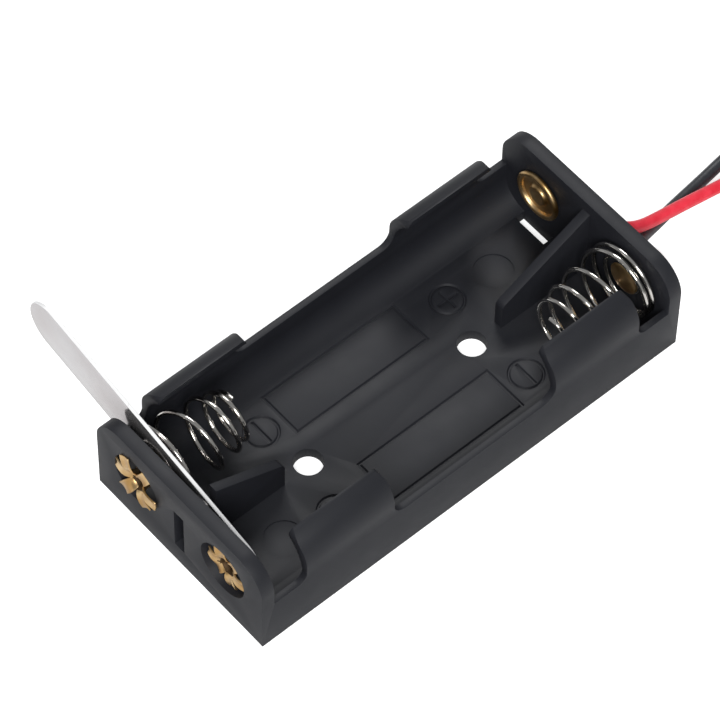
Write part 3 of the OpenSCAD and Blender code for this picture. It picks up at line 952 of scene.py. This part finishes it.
# %% Tree: ring of petals
def petal_ring_tree():
    tree, given, result = new_tree("ring_of_petals", [
        ("Count", "NodeSocketInt", 6),
        ("Centre", "NodeSocketVector", None),
        ("First turn", "NodeSocketFloat", 0.0),
        ("Unevenness", "NodeSocketFloat", 0.06),
        ("Seed", "NodeSocketInt", 1),
        ("Finish", "NodeSocketMaterial", None),
    ])
    spots = tree.nodes.new("GeometryNodeMeshLine")
    index = tree.nodes.new("GeometryNodeInputIndex")
    step = tree.nodes.new("ShaderNodeMath")
    step.operation = "DIVIDE"
    step.inputs[0].default_value = 2 * math.pi
    angle = tree.nodes.new("ShaderNodeMath")
    angle.operation = "MULTIPLY_ADD"
    jitter = tree.nodes.new("FunctionNodeRandomValue")
    jitter.data_type = "FLOAT_VECTOR"
    lowest = tree.nodes.new("ShaderNodeVectorMath")
    lowest.operation = "SCALE"
    lowest.inputs[0].default_value = (-1, -1, -1)
    highest = tree.nodes.new("ShaderNodeVectorMath")
    highest.operation = "SCALE"
    highest.inputs[0].default_value = (1, 1, 1)
    turn = tree.nodes.new("ShaderNodeCombineXYZ")
    both = tree.nodes.new("ShaderNodeVectorMath")
    both.operation = "ADD"
    size = tree.nodes.new("FunctionNodeRandomValue")
    size.data_type = "FLOAT"
    size.inputs["Min"].default_value = 0.9
    size.inputs["Max"].default_value = 1.0
    place_all = tree.nodes.new("GeometryNodeInstanceOnPoints")
    real = tree.nodes.new("GeometryNodeRealizeInstances")
    shift = tree.nodes.new("GeometryNodeTransform")
    paint = tree.nodes.new("GeometryNodeSetMaterial")
    link(tree, given.outputs["Count"], spots.inputs["Count"])
    spots.inputs["Offset"].default_value = (0, 0, 0)
    link(tree, given.outputs["Count"], step.inputs[1])
    link(tree, index.outputs["Index"], angle.inputs[0])
    link(tree, step.outputs["Value"], angle.inputs[1])
    link(tree, given.outputs["First turn"], angle.inputs[2])
    link(tree, angle.outputs["Value"], turn.inputs["Y"])
    link(tree, given.outputs["Unevenness"], lowest.inputs["Scale"])
    link(tree, given.outputs["Unevenness"], highest.inputs["Scale"])
    link(tree, lowest.outputs["Vector"], jitter.inputs["Min"])
    link(tree, highest.outputs["Vector"], jitter.inputs["Max"])
    link(tree, given.outputs["Seed"], jitter.inputs["Seed"])
    link(tree, given.outputs["Seed"], size.inputs["Seed"])
    link(tree, turn.outputs["Vector"], both.inputs[0])
    link(tree, jitter.outputs["Value"], both.inputs[1])
    link(tree, spots.outputs["Mesh"], place_all.inputs["Points"])
    link(tree, given.outputs["Geometry"], place_all.inputs["Instance"])
    link(tree, both.outputs["Vector"], place_all.inputs["Rotation"])
    link(tree, size.outputs[1], place_all.inputs["Scale"])
    link(tree, place_all.outputs["Instances"], shift.inputs["Geometry"])
    link(tree, given.outputs["Centre"], shift.inputs["Translation"])
    link(tree, shift.outputs["Geometry"], real.inputs["Geometry"])
    link(tree, real.outputs["Geometry"], paint.inputs["Geometry"])
    link(tree, given.outputs["Finish"], paint.inputs["Material"])
    link(tree, paint.outputs["Geometry"], result.inputs["Geometry"])
    return tree


ring_of_petals = petal_ring_tree()
print("petal ring inputs:", input_names(ring_of_petals))

# %% [markdown]
# ## One petal by hand
#
# A petal is a strip of six faces across, which follows a spine of points from the barrel out over
# the recess. Across its width it keeps a little of the barrel's roundness. Solidify then gives it
# the sheet's thickness and a bevel takes the sharpness off. The near left petals stand out
# furthest, so each rivet is given one of three spines.

# %% One petal
PETAL_T = 0.2
PETAL_EDGE = 0.035
PETAL_FACES = 6
PETAL_ROOT = 0.74    # width at the root, as a share of the full width
PETAL_FLAT = 0.45    # how much of the barrel's curve is gone at the tip


def petal(name, side, spine, half_width):
    """A strip whose spine is (radius, height outwards) in mm, round the Y axis, pointing to +X."""
    work = bmesh.new()
    rows = []
    for i, (r, h) in enumerate(spine):
        share = i / (len(spine) - 1)
        half = half_width * (PETAL_ROOT + (1 - PETAL_ROOT) * min(1, share * 1.5))
        before, after = spine[max(0, i - 1)], spine[min(len(spine) - 1, i + 1)]
        along = Vector((after[0] - before[0], after[1] - before[1])).normalized()
        row = []
        for k in range(PETAL_FACES + 1):
            s = half * (2 * k / PETAL_FACES - 1)
            # The barrel's own curve: the edges stand nearer to the axis, and later further out.
            rise = (BARREL_R - math.sqrt(BARREL_R ** 2 - s ** 2)) * (1 - PETAL_FLAT * share)
            row.append(work.verts.new(mm(r - rise * along.y, side * (h + rise * along.x), s)))
        rows.append(row)
    for a, b in zip(rows, rows[1:]):
        for k in range(PETAL_FACES):
            work.faces.new((a[k], a[k + 1], b[k + 1], b[k]))
    mesh = bpy.data.meshes.new(name)
    close_mesh(work, mesh)
    for polygon in mesh.polygons:
        polygon.use_smooth = True
    obj = add_object(name, mesh)
    thick = obj.modifiers.new("sheet", "SOLIDIFY")
    thick.thickness = PETAL_T * MM
    thick.offset = 0
    edge = obj.modifiers.new("edges", "BEVEL")
    edge.width = PETAL_EDGE * MM
    edge.segments = 2
    edge.limit_method = "ANGLE"
    apply_modifiers(obj)
    obj.data.set_sharp_from_angle(angle=math.radians(45))
    return obj


flush_spine = [(1.0, -0.35), (1.0, -0.05), (1.02, 0.2), (1.1, 0.48), (1.3, 0.76), (1.62, 0.94),
               (2.05, 1.02), (2.5, 1.02), (2.95, 0.97), (3.3, 0.89)]
deep_spine = [(1.0, -0.35), (1.0, -0.12), (1.02, 0.05), (1.12, 0.24), (1.34, 0.37),
              (1.66, 0.44), (2.0, 0.43), (2.35, 0.36), (2.75, 0.22)]
flat_spine = [(1.0, -0.35), (1.0, -0.05), (1.03, 0.2), (1.13, 0.45), (1.33, 0.62),
              (1.62, 0.66), (1.9, 0.62), (2.2, 0.5), (2.45, 0.32)]
print("spines reach, mm:", [spine[-1][0] for spine in (flush_spine, deep_spine, flat_spine)])

# %% [markdown]
# ## Whole rivets
#
# The tree sets six petals round each rivet, and the ring is joined with its head and barrel to one
# piece. The petals' roots stand in the barrel's shade, which is painted on them with the dark brass.

# %% Rivets: head and petals together
# Petal faces nearer to the axis than this get the dark brass as painted shade.
PAINTED_SHADE_R = 1.04    # petal faces nearer to the axis than this are in the shade


def join(pieces, name):
    work = bmesh.new()
    for piece in pieces:
        work.from_mesh(piece.data)
    mesh = bpy.data.meshes.new(name)
    close_mesh(work, mesh)
    for material in pieces[0].data.materials:
        mesh.materials.append(material)
    for piece in pieces:
        bpy.data.objects.remove(piece)
    return add_object(name, mesh)


for node, name, x, side, spine, half_width, first, seed in (
    ("near_left_rivet", "near_left_dome_rivet", -RIVET_X, -1, flush_spine, 0.72, 0.0, 4),
    ("near_right_contact", "near_right_dished_rivet", RIVET_X, -1, deep_spine, 0.68, 0.1, 7),
    ("far_right_rivet", "far_right_dome_rivet", RIVET_X, 1, flat_spine, 0.58, 0.3, 2),
    ("far_left_contact", "far_left_dished_rivet", -RIVET_X, 1, flat_spine, 0.58, 0.2, 5),
):
    ring = settle(petal(node + "_petals", side, spine, half_width), ring_of_petals, {
        "Count": 6, "Centre": tuple(mm(x, side * RECESS_Y, RIVET_Z)), "First turn": first,
        "Unevenness": 0.07, "Seed": seed, "Finish": rivet_brass})
    # The petals' roots get the painted shade, and the rest stays brass.
    for polygon in ring.data.polygons:
        polygon.material_index = PAINTED_SHADE_SLOT if from_axis(polygon, x) < PAINTED_SHADE_R else BRASS
    rivet = join([heads[node], ring], name)
    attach(rivet, "holder")
    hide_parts(node)
    print(rivet.name, len(rivet.data.polygons), "faces")

# %% [markdown]
# ## The link strip
#
# A bare nickel-plated strip joins the two near terminals. It is one flat blank with round ends, and
# it has sprung up out of its place, so it stands on edge and sticks out over the side wall. The
# solid strip is right but sharp; a merged copy of it gets rounded edges, as a tumbled blank has,
# and the faces round its rim are painted near-white as a painted highlight.

# %% Link strip
STRIP_EDGE = 0.1    # mm

strip = merged_copy("link_strip", "plated_link_strip")
join_flat_faces(strip.data, degrees=0.5)
soften(strip, STRIP_EDGE * MM, angle=60, segments=3)
strip.data.materials.clear()
strip.data.materials.append(strip_nickel)
strip.data.materials.append(painted_edge_highlight)
flat_side = max(strip.data.polygons, key=lambda polygon: polygon.area).normal.copy()
# Rim faces get the near-white painted highlight; the two flat faces stay nickel.
for polygon in strip.data.polygons:
    polygon.use_smooth = True
    polygon.material_index = 0 if abs(polygon.normal.dot(flat_side)) > 0.9 else 1
strip.data.set_sharp_from_angle(angle=math.radians(40))
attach(strip, "holder")
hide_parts("link_strip")
print(strip.name, len(strip.data.polygons), "faces")

# %% [markdown]
# ## Solder
#
# Each lead is held on its rivet by a drop of solder that ran between the petals before it set. It
# is a turned drop, pulled a little out of round so that the two aren't the same.

# %% Solder drops
DROP_HIGH = 1.36
DROP_SAG = 0.06      # how far its top hangs down, in mm
DROP_LOBES = 0.05    # how far it bulges three times on its way round, as a share of its radius
drop = [(0, -1.15), (0.8, -1.15), (0.82, -0.1), (1.25, 0.03), (1.62, 0.12), (1.7, 0.3),
        (1.55, 0.62), (1.22, 0.95), (0.8, 1.2), (0.35, 1.33), (0, DROP_HIGH)]
for colour, x, lean in (("red", -RIVET_X, 0.12), ("black", RIVET_X, -0.1)):
    solder = turned(f"{colour}_solder_drop", drop, x, side=1, start_y=SOLDER_Y, outward=True,
                    material=solder_metal)
    for vertex in solder.data.vertices:
        off = vertex.co - mm(x, SOLDER_Y, RIVET_Z)
        high = max(0, off.y / MM) / DROP_HIGH
        angle = math.atan2(off.z, off.x)
        grow = 1 - 0.06 * high + DROP_LOBES * math.sin(3 * angle + x) * high - 0.03
        vertex.co.x = x * MM + off.x * grow + lean * high * 0.3 * MM
        vertex.co.z = RIVET_Z * MM + off.z * grow - DROP_SAG * high * MM
    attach(solder, "holder")
    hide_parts(f"{colour}_solder")
    print(solder.name, "over", round(max(v.co.y for v in solder.data.vertices) / MM, 2), "mm")

# %% [markdown]
# ## Sizes, and the end
#
# The dressed holder must stay the size of the solid one, so both boxes are kept side by side.

# %% Finish
size = {"cad": [list(corner) for corner in cad_box], "visual": [list(corner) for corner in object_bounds()]}
for label, (low, high) in size.items():
    print(label, "box, mm:", [round((b - a) / MM, 2) for a, b in zip(low, high)])
